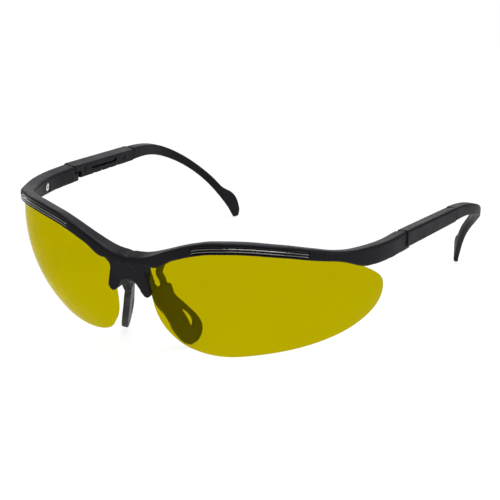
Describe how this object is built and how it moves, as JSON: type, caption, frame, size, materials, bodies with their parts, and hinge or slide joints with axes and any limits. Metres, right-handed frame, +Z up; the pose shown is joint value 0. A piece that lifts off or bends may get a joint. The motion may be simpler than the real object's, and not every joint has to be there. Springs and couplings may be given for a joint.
{
  "type": "safety glasses",
  "caption": "Half-frame safety glasses with yellow wraparound lenses, glossy brow inlays, soft nose pads and folding temples that adjust in length.",
  "frame": {"origin": "on the surface that the open glasses stand on, below the centre of their overall box: the lens bottoms and the tips of the ear arms are at Z = 0", "axes": "+X towards the wearer's left, -Y the way the wearer looks, +Z up; the glasses are mirror symmetric about X = 0 with both temples open"},
  "size_m": [0.1438, 0.1563, 0.0454],
  "materials": {
    "frame": "fine matte moulded black nylon",
    "temple": "fine matte moulded black nylon",
    "inlay": "polished black plastic with two raised ribs",
    "nose_pad": "soft matte black rubber",
    "lens": "clear yellow tinted polycarbonate with a polished hard coat",
    "screw": "bright nickel-plated steel with a cross slot"
  },
  "bodies": {
    "front": {"front_frame": "frame", "lens_left": "lens", "lens_right": "lens", "lens_screw_left": "screw", "lens_screw_right": "screw", "brow_inlay_left": "inlay", "brow_inlay_right": "inlay", "nose_pad_left": "nose_pad", "nose_pad_right": "nose_pad"},
    "sleeve_left": {"temple_sleeve_left": "temple", "hinge_screw_left": "screw"},
    "arm_left": {"ear_arm_left": "temple"},
    "sleeve_right": {"temple_sleeve_right": "temple", "hinge_screw_right": "screw"},
    "arm_right": {"ear_arm_right": "temple"}
  },
  "joints": [
    {"name": "temple_fold_left", "type": "hinge", "parent": "front", "child": "sleeve_left", "pos_m": [0.06915, -0.0128, 0.037], "axis": [0, 0, 1], "range_deg": [0, 92]},
    {"name": "temple_length_left", "type": "slide", "parent": "sleeve_left", "child": "arm_left", "axis": [0, 0.9988, -0.0489], "range_m": [0, 0.015]},
    {"name": "temple_fold_right", "type": "hinge", "parent": "front", "child": "sleeve_right", "pos_m": [-0.06915, -0.0128, 0.037], "axis": [0, 0, -1], "range_deg": [0, 80]},
    {"name": "temple_length_right", "type": "slide", "parent": "sleeve_right", "child": "arm_right", "axis": [0, 0.9988, -0.0489], "range_m": [0, 0.015]}
  ]
}
